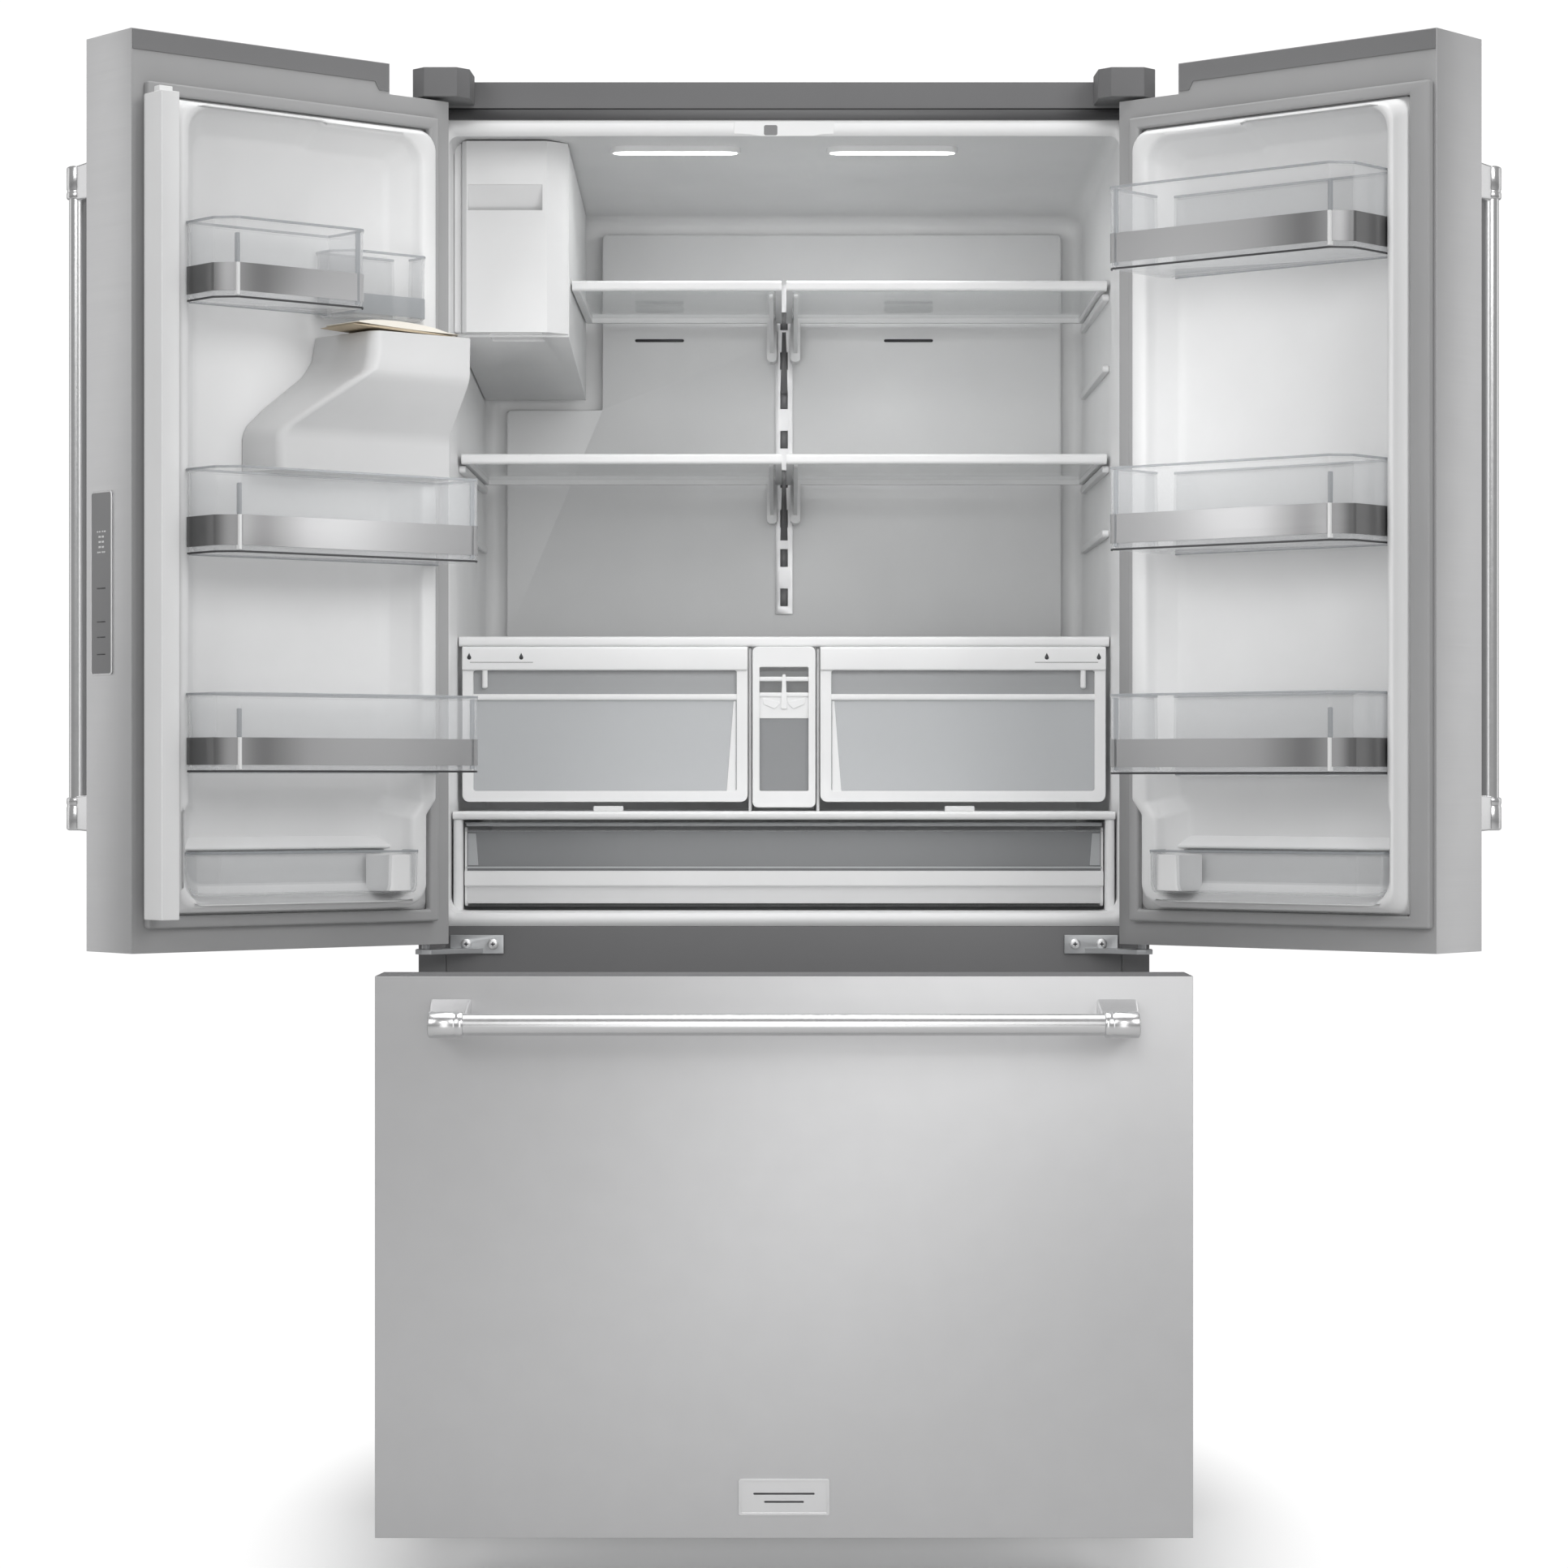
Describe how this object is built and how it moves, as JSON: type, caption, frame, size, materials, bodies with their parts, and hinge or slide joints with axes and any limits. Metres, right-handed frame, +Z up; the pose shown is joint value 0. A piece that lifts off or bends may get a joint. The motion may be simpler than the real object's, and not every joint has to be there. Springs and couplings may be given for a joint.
{
  "type": "french door refrigerator",
  "caption": "French door refrigerator with hinged doors standing open over a pulled-out freezer drawer, with shelves, bins, crispers, an ice maker and tubular handles.",
  "frame": {"origin": "on the floor under the middle of the object's box", "axes": "+X to the right seen from the front, +Y from the front towards the back, +Z up"},
  "size_m": [1.7022, 1.2356, 1.793],
  "materials": {
    "stainless": "fine brushed",
    "polished": "polished",
    "painted_grey": "satin grey",
    "zinc_plated": "zinc plated, satin",
    "aluminium_fins": "mill",
    "white_plastic": "satin white",
    "clear_plastic": "clear, glossy",
    "shelf_glass": "clear with a white moulded edge",
    "seal": "soft matt",
    "dark_plastic": "satin dark grey",
    "black_paint": "satin black",
    "black_rubber": "hard, matt"
  },
  "bodies": {
    "cabinet": {"outer_wrapper": "stainless", "rear_panel": "zinc_plated", "base_pan": "zinc_plated", "levelling_feet": "black_rubber", "base_grille": "dark_plastic", "mullion_bar": "painted_grey", "left_top_hinge": "painted_grey", "right_top_hinge": "painted_grey", "left_bottom_hinge": "zinc_plated", "right_bottom_hinge": "zinc_plated", "fresh_food_liner": "white_plastic", "evaporator_cover": "white_plastic", "evaporator_coil": "aluminium_fins", "shelf_rack": "zinc_plated", "upper_left_shelf": "shelf_glass", "upper_right_shelf": "shelf_glass", "lower_left_shelf": "shelf_glass", "lower_right_shelf": "shelf_glass", "crisper_cover": "shelf_glass", "deck_shelf": "white_plastic", "ice_maker_housing": "white_plastic", "freezer_liner": "white_plastic", "compressor": "black_paint"},
    "left_door": {"left_door_skin": "stainless", "left_door_liner": "white_plastic", "left_door_gasket": "seal", "left_door_handle": "polished", "control_panel": "dark_plastic", "dispenser_niche": "dark_plastic", "ice_chute": "white_plastic", "left_top_bin": "clear_plastic", "left_side_bin": "clear_plastic", "left_middle_bin": "clear_plastic", "left_lower_bin": "clear_plastic", "left_bottom_bin": "clear_plastic"},
    "flipper": {"flipper_bar": "white_plastic"},
    "dispenser_paddle": {"dispenser_paddle": "dark_plastic"},
    "right_door": {"right_door_skin": "stainless", "right_door_liner": "white_plastic", "right_door_gasket": "seal", "right_door_handle": "polished", "right_upper_bin": "clear_plastic", "right_middle_bin": "clear_plastic", "right_lower_bin": "clear_plastic", "right_bottom_bin": "clear_plastic"},
    "freezer_drawer": {"drawer_skin": "stainless", "drawer_liner": "white_plastic", "drawer_gasket": "seal", "drawer_handle": "polished", "freezer_basket": "clear_plastic"},
    "left_crisper": {"left_crisper": "clear_plastic"},
    "right_crisper": {"right_crisper": "clear_plastic"},
    "left_humidity_slider": {"left_humidity_slider": "white_plastic"},
    "right_humidity_slider": {"right_humidity_slider": "white_plastic"},
    "centre_drawer": {"centre_drawer": "clear_plastic"},
    "pantry_drawer": {"pantry_drawer": "clear_plastic"},
    "ice_bin": {"ice_bin": "white_plastic"},
    "evaporator_fan": {"evaporator_fan": "dark_plastic"},
    "condenser_fan": {"condenser_fan": "dark_plastic"},
    "rear_rollers": {"rear_rollers": "black_rubber"}
  },
  "joints": [
    {"name": "left_door_hinge", "type": "hinge", "parent": "cabinet", "child": "left_door", "pos_m": [-0.44, -0.06263, 1.255], "axis": [0, 0, 1], "range_deg": [0, 139.4]},
    {"name": "right_door_hinge", "type": "hinge", "parent": "cabinet", "child": "right_door", "pos_m": [0.44, -0.06263, 1.255], "axis": [0, 0, -1], "range_deg": [0, 139.4]},
    {"name": "flipper_hinge", "type": "hinge", "parent": "left_door", "child": "flipper", "pos_m": [-0.72453, -0.37604, 1.234], "axis": [0, 0, -1], "range_deg": [0, 90]},
    {"name": "dispenser_paddle_hinge", "type": "hinge", "parent": "left_door", "child": "dispenser_paddle", "pos_m": [-0.56951, -0.17429, 1.23], "axis": [-0.7593, -0.6508, 0], "range_deg": [0, 10], "stiffness_Nm_per_rad": 0.4, "springref_deg": -5.73},
    {"name": "freezer_drawer_slide", "type": "slide", "parent": "cabinet", "child": "freezer_drawer", "axis": [0, 1, 0], "range_m": [-0.06, 0.411]},
    {"name": "left_crisper_slide", "type": "slide", "parent": "cabinet", "child": "left_crisper", "axis": [0, 1, 0], "range_m": [-0.225, 0]},
    {"name": "right_crisper_slide", "type": "slide", "parent": "cabinet", "child": "right_crisper", "axis": [0, 1, 0], "range_m": [-0.225, 0]},
    {"name": "left_humidity_slide", "type": "slide", "parent": "left_crisper", "child": "left_humidity_slider", "axis": [1, 0, 0], "range_m": [0, 0.04]},
    {"name": "right_humidity_slide", "type": "slide", "parent": "right_crisper", "child": "right_humidity_slider", "axis": [-1, 0, 0], "range_m": [0, 0.04]},
    {"name": "centre_drawer_slide", "type": "slide", "parent": "cabinet", "child": "centre_drawer", "axis": [0, 1, 0], "range_m": [-0.25, 0]},
    {"name": "pantry_drawer_slide", "type": "slide", "parent": "cabinet", "child": "pantry_drawer", "axis": [0, 1, 0], "range_m": [-0.3, 0]},
    {"name": "ice_bin_slide", "type": "slide", "parent": "cabinet", "child": "ice_bin", "axis": [0, 1, 0], "range_m": [-0.3, 0]},
    {"name": "evaporator_fan_spin", "type": "hinge", "parent": "cabinet", "child": "evaporator_fan", "pos_m": [0, 0.52638, 1.47], "axis": [0, 1, 0], "continuous": true},
    {"name": "condenser_fan_spin", "type": "hinge", "parent": "cabinet", "child": "condenser_fan", "pos_m": [0.132, 0.51287, 0.15], "axis": [1, 0, 0], "continuous": true},
    {"name": "rear_roller_spin", "type": "hinge", "parent": "cabinet", "child": "rear_rollers", "pos_m": [0, 0.56288, 0.02], "axis": [1, 0, 0], "continuous": true}
  ],
  "couplings": [
    {"joint": "flipper_hinge", "follows": "left_door_hinge", "ratio": 0.6456}
  ]
}
